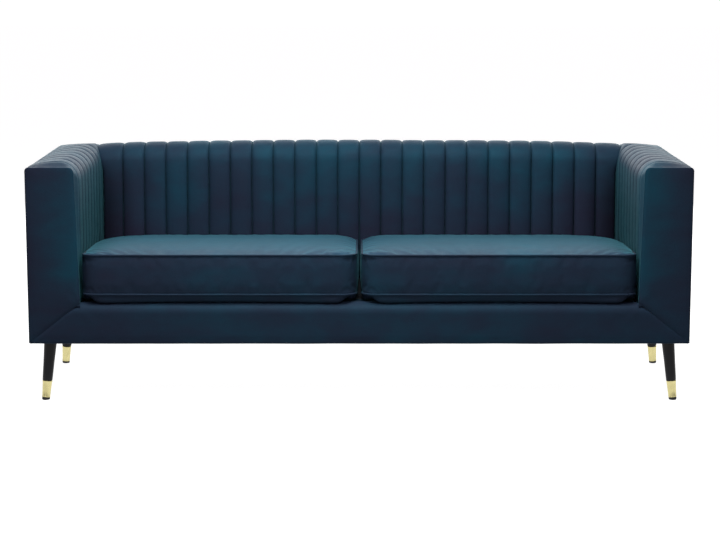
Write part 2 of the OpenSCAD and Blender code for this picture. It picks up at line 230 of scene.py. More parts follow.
def tube(name, path, radius, material, body, sides=12, closed=True):
    """A round tube along a path of points. radius is one number or one for each point."""
    path = np.asarray(path, float)
    if closed:
        ahead = np.roll(path, -1, 0) - np.roll(path, 1, 0)
    else:
        ahead = np.gradient(path, axis=0)
    ahead /= np.linalg.norm(ahead, axis=1, keepdims=True)
    up = np.array([0.0, 0.0, 1.0])
    side = np.cross(ahead, up)
    side /= np.linalg.norm(side, axis=1, keepdims=True)
    top = np.cross(side, ahead)
    angle = np.linspace(0, 2 * math.pi, sides, endpoint=False)
    ring = np.cos(angle)[None, :, None] * side[:, None] + np.sin(angle)[None, :, None] * top[:, None]
    reach = np.broadcast_to(np.asarray(radius, float), (len(path),))
    points = (path[:, None] + ring * reach[:, None, None]).reshape(-1, 3)
    faces = ring_faces(len(path), sides)
    if closed:
        index = np.arange(len(points)).reshape(-1, sides)
        joint = np.concatenate([index[[-1, 0]], index[[-1, 0], :1]], axis=1)
        faces = faces[:-2] + grid_faces(joint).tolist()
    return add_mesh(name, points, faces, material, body)


def lathe(name, foot, top, profile, material, body, sides=64, low_z=None, high_z=None):
    """A turned solid on the line from foot to top. profile lists (height, radius) from below.

    low_z and high_z cut its two ends level.
    """
    foot, top = Vector(foot), Vector(top)
    axis = (top - foot).normalized()
    side = axis.cross(Vector((0, 1, 0))).normalized()
    front = axis.cross(side)
    points = []
    for k, (height, radius) in enumerate(profile):
        centre = foot + axis * ((height - foot.z) / axis.z)
        level = {0: low_z, len(profile) - 1: high_z}.get(k)
        for i in range(sides):
            angle = 2 * math.pi * i / sides
            p = centre + side * radius * math.cos(angle) + front * radius * math.sin(angle)
            if level is not None:
                p += axis * ((level - p.z) / axis.z)
            if low_z is not None and p.z < low_z:
                p += axis * ((low_z - p.z) / axis.z)
            points.append(p)
    return add_mesh(name, points, ring_faces(len(profile), sides), material, body, sharp=30)


# ---------- materials ----------


class Shader:
    """A node material. add() makes a node and sets or links the inputs named after it."""

    def __init__(self, name):
        self.material = bpy.data.materials.new(name)
        self.material.use_nodes = True
        self.nodes = self.material.node_tree.nodes
        self.links = self.material.node_tree.links
        self.nodes.clear()
        self.surface = self.add("ShaderNodeBsdfPrincipled")
        output = self.add("ShaderNodeOutputMaterial")
        self.links.new(self.surface.outputs[0], output.inputs["Surface"])
        self.place = self.add("ShaderNodeTexCoord").outputs["Object"]

    def add(self, kind, settings=None, **inputs):
        node = self.nodes.new(kind)
        for key, value in (settings or {}).items():
            setattr(node, key, value)
        self.set(node, **inputs)
        return node

    def set(self, node, **inputs):
        for key, value in inputs.items():
            numbered = key[0] == "i" and key[1:].isdigit()
            socket = node.inputs[int(key[1:]) if numbered else key.replace("_", " ")]
            if isinstance(value, bpy.types.NodeSocket):
                self.links.new(value, socket)
            else:
                socket.default_value = value

    def finish(self, **inputs):
        """Sets or links the surface's inputs and gives the material."""
        self.set(self.surface, **inputs)
        return self.material

    def stretched(self, scale):
        """Object coordinates stretched by a scale on each axis."""
        return self.add("ShaderNodeMapping", Vector=self.place, Scale=scale).outputs[0]

    def noise(self, scale, detail=3.0, vector=None, roughness=0.55):
        node = self.add("ShaderNodeTexNoise", Vector=vector or self.place, Scale=scale,
                        Detail=detail, Roughness=roughness)
        return node.outputs["Fac"]

    def ramp(self, value, stops):
        """A colour ramp. stops lists (position, colour)."""
        node = self.add("ShaderNodeValToRGB", Fac=value)
        elements = node.color_ramp.elements
        while len(elements) < len(stops):
            elements.new(0.5)
        for element, (position, colour) in zip(elements, stops):
            element.position = position
            element.color = (*colour, 1)
        return node.outputs["Color"]

    def fit(self, value, low, high, to_low=0.0, to_high=1.0):
        """The value moved from one range to another, and held within it."""
        node = self.add("ShaderNodeMapRange", Value=value, From_Min=low, From_Max=high,
                        To_Min=to_low, To_Max=to_high)
        return node.outputs[0]

    def mixed(self, factor, first, second, blend="MIX"):
        settings = {"data_type": "RGBA", "blend_type": blend}
        node = self.add("ShaderNodeMix", settings, i0=factor, i6=first, i7=second)
        return node.outputs[2]

    def math(self, operation, *values):
        """The values taken together, two at a time."""
        result = values[0]
        for value in values[1:]:
            node = self.add("ShaderNodeMath", {"operation": operation}, i0=result, i1=value)
            result = node.outputs[0]
        return result

    def times(self, *values):
        return self.math("MULTIPLY", *values)

    def weighed(self, first, second, share):
        """The first value's share of 1, plus the rest of the second."""
        return self.math("ADD", self.times(first, share), self.times(second, 1 - share))

    def waves(self, direction, scale, distortion, detail=2.0):
        """Even bands along one axis."""
        node = self.add("ShaderNodeTexWave", {"bands_direction": direction}, Vector=self.place,
                        Scale=scale, Distortion=distortion, Detail=detail)
        return node.outputs["Fac"]

    def cells(self, scale):
        return self.add("ShaderNodeTexVoronoi", Vector=self.place, Scale=scale).outputs["Distance"]

    def bump(self, height, distance, strength=1.0, under=None):
        node = self.add("ShaderNodeBump", Height=height, Distance=distance, Strength=strength)
        if under is not None:
            self.links.new(under, node.inputs["Normal"])
        return node.outputs[0]


def tone_with_painted_shade(s, place):
    """How far the colour lies towards teal: random tone from the nap and streaks, plus painted light and
    shade by place on the sofa.
    """
    nap = s.noise(3.4, 4.0)
    streaks = s.noise(16.0, 5.0, s.stretched((0.45, 1.0, 1.0)))
    width = s.math("ABSOLUTE", place["X"], 0.0)
    # Painted light: the arm front panel turns teal towards its inner edge and purple towards its outer
    # edge.
    panel = s.times(s.fit(width, 0.88, 0.905), s.fit(place["Z"], 0.28, 0.42),
                    s.fit(place["Y"], -0.36, -0.30, 1.0, 0.0))
    painted_panel_light = s.times(s.fit(width, 0.90, 1.06, -0.26, 0.12), panel)
    # Painted shade on the back: darker and more purple towards its ends beside the arms and lower down,
    # lighter teal near the top.
    end_shade = s.fit(width, 0.60, 0.88, 0.0, 0.10)
    low_shade = s.fit(place["Z"], 0.46, 0.72, 0.08, -0.16)
    inside = s.times(s.math("ADD", end_shade, low_shade), s.fit(place["Y"], 0.10, 0.20))
    return s.math("SUBTRACT", s.weighed(nap, streaks, 0.6), s.math("ADD", painted_panel_light, inside))


def painted_arm_shade_mask(s, place):
    """Mask for painted shade: 1 on the inner sides of the arms and the ends of the back and seat, and 0
    elsewhere.
    """
    width = s.math("ABSOLUTE", place["X"], 0.0)
    between = s.times(s.fit(width, 0.78, 0.87), s.fit(width, 0.93, 0.96, 1.0, 0.0))
    behind_panel = s.fit(place["Y"], -0.37, -0.33)
    below_top = s.fit(place["Z"], 0.58, 0.75, 1.0, 0.0)
    before_rear = s.fit(place["Y"], 0.35, 0.38, 1.0, 0.0)
    return s.times(between, behind_panel, below_top, before_rear)


def velvet(name, sheen, painted_light_factor=(1, 1, 1)):
    """Petrol-blue velvet: a dark base that turns from purple-navy to teal with the lie of its pile, and
    with painted light and shade by place on the sofa. Painted shade darkens the inner sides of the arms;
    the colour factors give lighter copies for painted light.
    """
    s = Shader(name)
    place = s.add("ShaderNodeSeparateXYZ", Vector=s.place).outputs
    colours = [(0.0170, 0.0130, 0.027), (0.0138, 0.024, 0.043), (0.0090, 0.042, 0.067)]
    # The colour factors make a lighter copy of the velvet: painted light.
    painted_light_colours = [tuple(c * more for c, more in zip(colour, painted_light_factor)) for colour in colours]
    colour = s.ramp(tone_with_painted_shade(s, place), list(zip((0.22, 0.52, 0.80), painted_light_colours)))
    pile = s.noise(900.0, 3.0)
    crushed = s.noise(45.0, 3.0)
    # Painted shade: the base colour darkens to about half on the inner sides of the arms and the ends of
    # the back and seat, on top of the random pile tone.
    shade = s.fit(painted_arm_shade_mask(s, place), 0.0, 1.0, 1.0, 0.48)
    speckle_and_painted_shade = s.times(s.fit(pile, 0.25, 0.75, 0.72, 1.28), shade)
    grey = s.add("ShaderNodeCombineColor", i0=speckle_and_painted_shade, i1=speckle_and_painted_shade, i2=speckle_and_painted_shade).outputs[0]
    normal = s.bump(pile, 0.00035, 0.5, s.bump(crushed, 0.0012, 0.25))
    return s.finish(Base_Color=s.mixed(1.0, colour, grey, "MULTIPLY"),
                    Roughness=s.fit(crushed, 0.3, 0.7, 0.52, 0.62), Normal=normal, Specular_IOR_Level=0.08,
                    Specular_Tint=(0.32, 0.76, 1, 1), Sheen_Weight=sheen, Sheen_Roughness=0.30,
                    Sheen_Tint=(0.24, 0.86, 1, 1))


def woven(name, dark, light, threads, sheen=0.2):
    """Plain woven cloth: two crossing sets of threads with uneven yarn."""
    s = Shader(name)
    warp, weft = (s.waves(direction, threads, 0.6, 1.0) for direction in "XY")
    yarn = s.times(s.math("MAXIMUM", warp, weft), s.fit(s.noise(60.0), 0.3, 0.7, 0.8))
    return s.finish(Base_Color=s.ramp(yarn, [(0.2, dark), (0.9, light)]), Roughness=0.9,
                    Normal=s.bump(yarn, 0.0003, 0.6), Specular_IOR_Level=0.2, Sheen_Weight=sheen,
                    Sheen_Roughness=0.5)


def felted(name, dark, light):
    """Unwoven fibre cloth with an even embossed dot pattern."""
    s = Shader(name)
    fibres = s.noise(420.0, 5.0)
    raised_dots = s.math("ADD", fibres, s.cells(260.0))
    return s.finish(Base_Color=s.ramp(fibres, [(0.3, dark), (0.75, light)]), Roughness=0.92,
                    Normal=s.bump(raised_dots, 0.0004, 0.5), Specular_IOR_Level=0.15)


def timber(name, dark, light, along, gloss=0.6):
    """Sawn timber with its grain along one axis."""
    s = Shader(name)
    scale = tuple(0.06 if axis == along else 1.0 for axis in "xyz")
    place = s.stretched(scale)
    rings = s.add("ShaderNodeTexWave", {"wave_type": "RINGS"}, Vector=place, Scale=14.0, Distortion=7.0,
                  Detail=4.0, Detail_Scale=2.0).outputs["Fac"]
    fibre = s.noise(160.0, 6.0, place)
    grain = s.weighed(rings, fibre, 0.6)
    return s.finish(Base_Color=s.ramp(grain, [(0.25, dark), (0.8, light)]),
                    Roughness=s.fit(fibre, 0.3, 0.7, gloss, gloss + 0.2), Normal=s.bump(grain, 0.0006, 0.4),
                    Specular_IOR_Level=0.35)


def pressed_board():
    """Brown pressed board made of short fibres."""
    s = Shader("board")
    flecks = s.noise(240.0, 6.0)
    tone = s.weighed(flecks, s.noise(9.0, 3.0), 0.7)
    colour = s.ramp(tone, [(0.3, (0.12, 0.065, 0.03)), (0.7, (0.30, 0.185, 0.095))])
    return s.finish(Base_Color=colour, Roughness=0.8, Normal=s.bump(flecks, 0.0002, 0.4),
                    Specular_IOR_Level=0.3)


def foam():
    """Cream upholstery foam with open cells."""
    s = Shader("foam")
    colour = s.ramp(s.noise(6.0), [(0.3, (0.62, 0.54, 0.34)), (0.7, (0.72, 0.66, 0.46))])
    return s.finish(Base_Color=colour, Roughness=0.95, Normal=s.bump(s.cells(500.0), 0.0004, 0.6),
                    Specular_IOR_Level=0.1)


def metal(name, colour, roughness, streak_axis="z", streaks=220.0, depth=0.00006):
    """Metal with fine drawn or brushed lines along one axis and faint stains."""
    s = Shader(name)
    scale = tuple(0.04 if axis == streak_axis else 1.0 for axis in "xyz")
    lines = s.noise(streaks, 4.0, s.stretched(scale))
    dark = tuple(c * 0.72 for c in colour)
    tone = s.weighed(lines, s.noise(30.0, 4.0), 0.6)
    return s.finish(Base_Color=s.ramp(tone, [(0.3, dark), (0.62, colour)]), Metallic=1.0,
                    Roughness=s.fit(lines, 0.25, 0.75, roughness * 0.75, roughness * 1.25),
                    Normal=s.bump(lines, depth, 0.6))


def lacquer():
    """Satin black lacquer with open wood grain showing through along the leg."""
    s = Shader("leg_lacquer")
    grain = s.noise(210.0, 5.0, s.stretched((1.0, 1.0, 0.045)))
    wear = s.noise(22.0, 3.0)
    colour = s.ramp(grain, [(0.35, (0.0035, 0.0035, 0.0045)), (0.62, (0.0065, 0.0065, 0.0085))])
    return s.finish(Base_Color=colour, Roughness=s.fit(wear, 0.3, 0.7, 0.34, 0.46),
                    Normal=s.bump(grain, 0.00012, 0.5), Specular_IOR_Level=0.25)


def plastic(name, colour, roughness=0.5):
    """Moulded plastic with a fine spark-eroded grain."""
    s = Shader(name)
    grain = s.noise(700.0, 2.0)
    light = tuple(min(1.0, c * 1.6 + 0.002) for c in colour)
    return s.finish(Base_Color=s.ramp(s.noise(40.0), [(0.3, colour), (0.7, light)]),
                    Roughness=s.fit(grain, 0.3, 0.7, roughness - 0.06, roughness + 0.08),
                    Normal=s.bump(grain, 0.00005, 0.4))


def strap():
    """Elastic upholstery webbing: beige, with a dark line of rubber threads."""
    s = Shader("webbing")
    height = s.times(s.waves("Z", 170.0, 0.3), s.waves("X", 260.0, 0.4))
    colour = s.ramp(height, [(0.1, (0.12, 0.09, 0.05)), (0.6, (0.48, 0.40, 0.27))])
    return s.finish(Base_Color=colour, Roughness=0.88, Normal=s.bump(height, 0.0004, 0.7))


VELVET = velvet("velvet", 0.08)
PAINTED_LIGHT_SEAT_VELVET = velvet("seat_velvet_painted_light", 0.8, (1.15, 1.65, 1.65))    # cushion tops: a lighter copy of the velvet with more sheen, painted light on the tops
TIMBER = [timber(f"frame_wood_{axis}", (0.30, 0.18, 0.085), (0.56, 0.40, 0.23), axis) for axis in "xyz"]
MATERIALS = {
    "velvet": VELVET,
    "foam": foam(),
    "board": pressed_board(),
    "steel": metal("spring_steel", (0.30, 0.31, 0.33), 0.38, "x"),
    "clip_steel": metal("clip_steel", (0.42, 0.43, 0.45), 0.32, "x"),
    "webbing": strap(),
    "deck_cloth": woven("deck_cloth", (0.008, 0.011, 0.016), (0.030, 0.038, 0.050), 190.0),
    "dust_cloth": felted("dust_cloth", (0.006, 0.006, 0.007), (0.022, 0.022, 0.025)),
    "leg_lacquer": lacquer(),
    "brass": metal("brass", (0.86, 0.77, 0.38), 0.26, "z", 300.0, 0.00012),
    "glide": plastic("glide", (0.004, 0.004, 0.0045), 0.7),
    "zip_tape": woven("zip_tape", (0.004, 0.010, 0.018), (0.016, 0.030, 0.045), 420.0),
}


# ---------- channelled inside covers ----------


def channel_profile(position, roundness=0.3):
    """Height of a channel from 0 at its seams (-1 and 1) to 1 in the middle: full, with steep sides."""
    full = (1 - np.abs(position) ** 5) ** 0.5
    body = full + (1 - position ** 2 - full) * roundness
    slit = np.exp(-(1 - np.abs(position)) / 0.02)
    return body - SEAM_SLIT * slit


def channel_columns(edges, steps):
    """Positions across all the channels, and each one's place from -1 to 1 in its channel."""
    places, within = [], []
    for k, (low, high) in enumerate(zip(edges[:-1], edges[1:])):
        t = spread(steps)
        t = t if k == 0 else t[1:]
        places.append((low + high) / 2 + t * (high - low) / 2)
        within.append(t)
    return np.concatenate(places), np.concatenate(within)


def puckers(grid, within, seed):
    """Small gathers of the cover beside each seam, and slow unevenness of the filling."""
    near_seam = np.exp(-(1 - np.abs(within)) / 0.16)[None, :]
    gathers = rough(grid, 0.016, seed) * 0.0007 * near_seam
    filling = rough(grid, 0.16, seed + 1) * 0.0011 * (1 - near_seam)
    return gathers + filling


def inside_back():
    """The channelled back: face, shoulder and crown in one cover, filled down to the webbing."""
    crown_z = BACK_TOP - CROWN_SINK
    shoulder_z = crown_z - SHOULDER_R
    seam_foot_y = BACK_FOOT_Y + 0.0100
    face_lean = (shoulder_z - BACK_FOOT_Z) * math.tan(BACK_RAKE)
    crown_y = seam_foot_y + face_lean + SHOULDER_R / math.cos(BACK_RAKE)
    rear_y, rear_z = REAR_Y - 0.002, SEAM_Z + 0.001
    face_top = (crown_y - SHOULDER_R * math.cos(BACK_RAKE),
                shoulder_z + SHOULDER_R * math.sin(BACK_RAKE))
    fall = np.linspace(0, 1, 19)
    path = np.concatenate([
        line((seam_foot_y, BACK_FOOT_Z), face_top, 44),
        arc((crown_y, shoulder_z), SHOULDER_R, 180 - math.degrees(BACK_RAKE), 90, 16),
        np.stack([crown_y + (rear_y - crown_y) * fall,
                  crown_z - (crown_z - rear_z) * fall ** REAR_FALL], -1),
    ])
    settled = 1 - smooth(path[:, 0], crown_y + 0.05, rear_y)[:, None]
    height_share = smooth(path[:, 1], 0.66, BACK_TOP - 0.01)[:, None]

    seams = [CHANNEL_W * k for k in range(1 - CHANNELS_EACH_SIDE, CHANNELS_EACH_SIDE)]
    edges = [-CHANNEL_W * CHANNELS_EACH_SIDE, *seams, CHANNEL_W * CHANNELS_EACH_SIDE]
    across, within = channel_columns(edges, 14)
    end_share = np.clip((np.abs(across) - seams[-1]) / CHANNEL_W, 0, 1)[None, :]
    end_x = (ARM_X + 0.002) + 0.024 * height_share
    seam_number = np.round(across / CHANNEL_W * 2) * 0.3
    wander = rough(np.stack([seam_number, across * 0, across * 0], -1), 1.0, 5)
    x = across[None, :] + np.sign(across)[None, :] * end_share * (end_x - edges[-1])
    x = x + wander[None, :] * 0.0006 * np.sin(path[:, 1:] * 18)
    off_middle = np.abs(across / edges[-1])[None, :]
    drop = (0.0085 * off_middle ** 1.8 + 0.006 * off_middle ** 12) * height_share * settled
    grid = swept(x, path)
    grid[..., 2] -= drop

    fraction = path_fractions(path)
    height = 0.0140 - 0.0065 * height_share - 0.0030 * smooth(fraction, 0.9, 1.0)[:, None]
    profile = channel_profile(within[None, :], 0.45 - 0.38 * height_share)
    relief = profile * height + puckers(grid, within, 11)
    outer = raised(grid, (0, -1, 0), relief)
    inside_y, under_z = WEBBING_Y - 0.001, SEAM_Z + 0.0008
    corner = [(inside_y, BACK_FOOT_Z), (inside_y, under_z), (REAR_Y - 0.0025, under_z)]
    inner = swept(x, along_path(corner, fraction))
    piece = pad("inside_back", outer, inner, VELVET, "frame", 60)
    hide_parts("inside_back_cover", "back_foam")


def panel_edge_x(z):
    """Inner edge of the arm front panel, which leans a little towards the arm as it rises."""
    return 0.905 - (SEAM_Z - z) * 0.027


def arm_section(depth, top, shoulder_r, start, meets_back, falling):
    """Points up the inner face of an arm and over its top, at one depth behind its front."""
    dome = ARM_DOME * start * (1 - falling)
    edge_r = 0.004 + (FRONT_RISE - 0.004 + (EDGE_R - FRONT_RISE) * start) * (1 - falling)
    edge_x, edge_z = HALF_W - ARM_FACE_X - edge_r, top - dome - edge_r
    low_angle = math.degrees(math.asin(np.clip((ARM_END_Z - edge_z) / edge_r, -1, 1)))
    section = np.concatenate([
        line((0, ARM_FOOT_Z), (0, top - shoulder_r), 36),
        arc((shoulder_r, top - shoulder_r), shoulder_r, 180, 90, 14),
        line((shoulder_r, top), (edge_x, top - dome), 12),
        arc((edge_x, edge_z), edge_r, 90, low_angle, 8),
        arc((edge_x, edge_z), edge_r, low_angle, low_angle, 1),
    ])
    on_top = np.clip((section[:, 0] - shoulder_r) / (edge_x - shoulder_r), 0, 1)
    straight = top - dome * on_top
    crowned = top - dome * on_top ** 2
    on_crown = (on_top > 0) & (section[:, 0] < edge_x)
    z = section[:, 1] + np.where(on_crown, crowned - straight, 0)
    lean_in = (1 - start) * (panel_edge_x(z) - ARM_FACE_X)
    corner_in = meets_back * (0.001 + 0.020 * smooth(z, 0.68, 0.765))
    squeezed = 0.005 * (1 - smooth(z, 0.43, 0.50)) * start * (1 - smooth(depth, 0.50, 0.60))
    inner_share = 1 - np.clip(section[:, 0] / (HALF_W - ARM_FACE_X), 0, 1)
    x = ARM_FACE_X + section[:, 0] + (lean_in + corner_in + squeezed) * inner_share
    return np.stack([x, 0 * x + FRONT_Y + depth + 0.001, z], -1)


def inside_arm(side, name):
    """The channelled inside cover of an arm: inner face, shoulder, top and outer edge."""
    depth_total = REAR_Y - FRONT_Y - 0.002
    edges = [0.0, *(ARM_BAND + ARM_CHANNEL_W * k for k in range(ARM_CHANNELS + 1)), depth_total]
    depth, within = channel_columns(edges, 12)
    start = 1 - (1 - np.clip(depth / ARM_BAND, 0, 1)) ** 1.15
    meets_back = smooth(depth, 0.56, 0.665)
    falling = np.clip((depth - 0.58) / (depth_total - 0.58), 0, 1) ** REAR_FALL

    front_top = ARM_END_Z + FRONT_RISE
    level = front_top + (ARM_TOP - 0.004 - ARM_END_Z - FRONT_RISE) * start
    top = ARM_END_Z + (level - ARM_END_Z) * (1 - falling)
    shoulder = 0.018 + (SHOULDER_R - 0.018) * start * (1 - meets_back)
    columns = zip(depth, top, shoulder, start, meets_back, falling)
    grid = np.stack([arm_section(*column) for column in columns], 1)

    up = smooth(grid[..., 2], 0.70, ARM_TOP - 0.01)
    height = 0.0040 * np.minimum(1, start + 0.15)[None, :] * (0.45 + 0.55 * up)
    plain = np.where(depth < ARM_BAND, 0.55 + 0.45 * smooth(depth, 0, 0.02), 1.0)[None, :]
    band_edge = smooth(ARM_BAND - depth, 0, 0.012) ** 0.6
    profile = np.where(depth < ARM_BAND, band_edge, channel_profile(within))
    outer_fade = 1 - 0.6 * smooth(grid[..., 0], HALF_W - 0.012, HALF_W)
    relief = profile[None, :] * height * plain * outer_fade + puckers(grid, within, 23 + side)
    relief *= np.minimum(1, start * 1.5)[None, :]
    outer = raised(grid, (-1, 0, 0), relief)
    inside_x, under_z = ARM_BOARD_X - 0.001, SEAM_Z + 0.0006
    corner = [(inside_x, ARM_FOOT_Z), (inside_x, under_z), (HALF_W - 0.001, under_z)]
    under = along_path(corner, path_fractions(grid[:, len(depth) // 3][:, [0, 2]]))
    inner = grid.copy()
    inner[..., 0] = under[:, :1]
    inner[..., 2] = under[:, 1:]
    inner[..., 1] = np.maximum(inner[..., 1], POST_Y - 0.0005)
    mirror = np.array([side, 1, 1])
    piece = pad(f"inside_arm_{name}", outer * mirror, inner * mirror, VELVET, "frame", 60)
    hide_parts(f"inside_arm_cover_{name}", f"arm_foam_{name}")


# ---------- plain panels ----------


def seam_relief(grid, distance, along, seed, bulge=0.0028):
    """A panel that swells a little from its seams, with fine gathers beside them."""
    swell = bulge * (1 - np.exp(-distance / 0.028))
    groove = -0.0022 * np.exp(-distance / 0.0035)
    ripple = rough(np.stack([along, along * 0, along * 0], -1), 0.011, seed)
    gathers = 0.0006 * ripple * np.exp(-distance / 0.012)
    waves = 0.0007 * rough(grid, 0.13, seed + 1)
    return swell + groove + gathers + waves * np.clip(distance / 0.03, 0, 1)


def arm_front_panel(side, name):
    """Plain front of an arm, from the mitre at the base up to the rounded inner corner."""
    corner_r = 0.018
    top = SEAM_Z + 0.002 + FRONT_RISE
    inner_x = panel_edge_x(top - corner_r)
    inner = np.concatenate([
        line((panel_edge_x(DECK_Z), DECK_Z), (inner_x, top - corner_r), 52),
        arc((inner_x + corner_r, top - corner_r), corner_r, 180, 90, 12),
        [(inner_x + corner_r, top)],
    ])
    share = path_fractions(inner)[:, None]
    outer_edge = np.concatenate([
        line((HALF_W, BASE_Z), (HALF_W, top - FRONT_RISE), 80),
        arc((HALF_W - FRONT_RISE, top - FRONT_RISE), FRONT_RISE, 0, 90, 12),
        [(HALF_W - FRONT_RISE, top)],
    ])
    outer = along_path(outer_edge, share[:, 0])
    t = (spread(30)[None, :, None] + 1) / 2
    flat = inner[:, None] * (1 - t) + outer[:, None] * t
    width = np.linalg.norm(outer - inner, axis=1)[:, None]
    length = top - BASE_Z
    from_side = np.minimum(t[..., 0], 1 - t[..., 0]) * width
    from_end = np.minimum(share, 1 - share) * length * (0.75 + 0.25 * share)
    grid = np.stack([flat[..., 0], 0 * flat[..., 0] + FRONT_Y, flat[..., 1]], -1)
    along = grid[..., 2] + grid[..., 0] * 0.9
    relief = seam_relief(grid, np.minimum(from_side, from_end), along, 31 + side)
    relief += tucks(grid, (panel_edge_x(DECK_Z), DECK_Z), side)
    front = grid.copy()
    front[..., 1] -= relief
    rear = grid.copy()
    rear[..., 1] = POST_Y - 0.0008
    mirror = np.array([side, 1, 1])
    piece = pad(f"arm_front_{name}", front * mirror, rear * mirror, VELVET, "frame", 50)
    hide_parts(f"arm_front_panel_{name}")


def tucks(grid, corner, side):
    """Small folds that fan out from the inner corner of the mitre."""
    dx = grid[..., 0] - corner[0]
    dz = grid[..., 2] - corner[1]
    distance = np.hypot(dx, dz)
    angle = np.arctan2(dz, dx)
    fan = np.sin(angle * 7 + 1.3 * side + 6 * rough(grid, 0.2, 41))
    return 0.0012 * fan * np.exp(-distance / 0.045) * smooth(distance, 0.0, 0.012)


def front_border():
    """Plain front of the base. It wraps under the frame, and over the front rail to the seat deck."""
    low_r, high_r = 0.007, 0.032
    path = np.concatenate([
        line((FRONT_Y + 0.034, BASE_Z + 0.0004), (FRONT_Y + low_r, BASE_Z + 0.0004), 5),
        arc((FRONT_Y + low_r, BASE_Z + low_r), low_r, 270, 180, 7),
        line((FRONT_Y, BASE_Z + low_r), (FRONT_Y, DECK_Z - 0.001 - high_r), 26),
        arc((FRONT_Y + high_r, DECK_Z - 0.001 - high_r), high_r, 180, 90, 7),
        [(FRONT_Y + high_r, DECK_Z - 0.001)],
    ])
    t = np.sign(spread(220)) * np.abs(np.linspace(-1, 1, 221)) ** 0.8
    up = np.clip((path[:, 1] - BASE_Z) / (DECK_Z - BASE_Z), 0, 1)
    half = HALF_W + (panel_edge_x(DECK_Z) - HALF_W) * up
    x = t[None, :] * half[:, None]
    grid = swept(x, path)
    from_end = (1 - np.abs(t))[None, :] * half[:, None] * 0.62
    along = np.abs(x) + grid[..., 2]
    on_face = smooth(path[:, 1], BASE_Z, BASE_Z + 0.03) * smooth(DECK_Z - path[:, 1], 0, 0.025)
    relief = seam_relief(grid, from_end, along, 51, bulge=0.0015)
    relief += on_face[:, None] * (0.0016 + 0.0008 * rough(grid, 0.19, 53))
    mirrored = np.abs(grid) * np.array([1, 0, 1]) + grid * np.array([0, 1, 0])
    relief += tucks(mirrored, (panel_edge_x(DECK_Z), DECK_Z), 0) * on_face[:, None]
    outer = raised(grid, (0, -1, 0), relief)
    inner = raised(grid, (0, -1, 0), 0 * relief - 0.004)
    piece = pad("front_base", outer, inner, VELVET, "frame", 50)
    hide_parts("front_border", "front_rail_foam")


def outside_panel(name, node, run, turn, seed):
    """A plain outside cover. run lists its two ends, and turn maps (along, out, z) to a point."""
    low_r = 0.007
    path = np.concatenate([
        line((-0.034, BASE_Z + 0.0004), (-low_r, BASE_Z + 0.0004), 5),
        arc((-low_r, BASE_Z + low_r), low_r, 270, 360, 7),
        line((0, BASE_Z + low_r), (0, SEAM_Z + 0.0005), 54),
        [(0, SEAM_Z + 0.0005)],
    ])
    along = run[0] + (run[1] - run[0]) * (spread(90) + 1) / 2
    flat = swept(along, path)
    from_end = np.minimum(along - run[0], run[1] - along)[None, :]
    from_top = SEAM_Z - flat[..., 2]
    distance = np.minimum(from_end, from_top)
    seam_run = along[None, :] + flat[..., 2]
    relief = seam_relief(flat, np.maximum(distance, 0), seam_run, seed, bulge=0.0015)
    relief += 0.0009 * rough(flat, 0.24, seed + 3) * np.clip(distance / 0.05, 0, 1)
    outer = flat.copy()
    outer[..., 1] += np.where(flat[..., 2] > BASE_Z + low_r * 0.5, relief, 0)
    inner = flat.copy()
    inner[..., 1] = np.minimum(flat[..., 1] - 0.0045, -0.0045)
    inner[..., 2] = np.maximum(flat[..., 2], BASE_Z + 0.0035)
    inner[:6, :, 1] = flat[:6, :, 1]
    piece = pad(name, turn(outer), turn(inner), VELVET, "frame", 50)
    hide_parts(node)


def outside_panels():
    """The two outside arm covers and the outside back cover."""
    for side, name in SIDES:
        def turn(p, side=side):
            return np.stack([side * (HALF_W + p[..., 1]), p[..., 0], p[..., 2]], -1)
        outside_panel(f"outside_arm_{name}", f"outside_arm_cover_{name}",
                      (FRONT_Y + 0.0005, REAR_Y - 0.0005), turn, 61 + side)

    def turn_back(p):
        return np.stack([p[..., 0], REAR_Y + p[..., 1], p[..., 2]], -1)
    ends = (-HALF_W + 0.0005, HALF_W - 0.0005)
    outside_panel("outside_back", "outside_back_cover", ends, turn_back, 71)


# ---------- seat cushions ----------


def from_deck(points):
    """Points given as x, distance behind the front and height above the sloping deck."""
    p = np.asarray(points, float)
    y = FRONT_Y + p[..., 1] * math.cos(DECK_SLOPE) + p[..., 2] * math.sin(DECK_SLOPE)
    z = DECK_Z - p[..., 1] * math.sin(DECK_SLOPE) + p[..., 2] * math.cos(DECK_SLOPE)
    return np.stack([p[..., 0], y, z], -1)


def to_deck(point):
    """The inverse of from_deck, for one point."""
    y, z = point[1] - FRONT_Y, point[2] - DECK_Z
    return np.array([point[0], y * math.cos(DECK_SLOPE) - z * math.sin(DECK_SLOPE),
                     y * math.sin(DECK_SLOPE) + z * math.cos(DECK_SLOPE)])


def box_grid(counts):
    """Vertices, as whole steps along each axis, and quads of a box split into counts."""
    numbers, faces = {}, []
    for axis in range(3):
        a, b = [other for other in range(3) if other != axis]
        for end in (0, counts[axis]):
            for i in range(counts[a]):
                for j in range(counts[b]):
                    quad = []
                    for di, dj in ((0, 0), (1, 0), (1, 1), (0, 1)):
                        cell = [0, 0, 0]
                        cell[axis], cell[a], cell[b] = end, i + di, j + dj
                        quad.append(numbers.setdefault(tuple(cell), len(numbers)))
                    faces.append(quad)
    return np.array(list(numbers)), faces


def crowded(share):
    """Numbers from -1 to 1 respaced with smaller steps towards both ends."""
    return np.sin(1.26 * share) / math.sin(1.26)


def droop(front_gap):
    """How far the underside of a cushion hangs over the rounded front edge of the base."""
    return 0.0050 * (1 - smooth(front_gap, 0.006, 0.022))


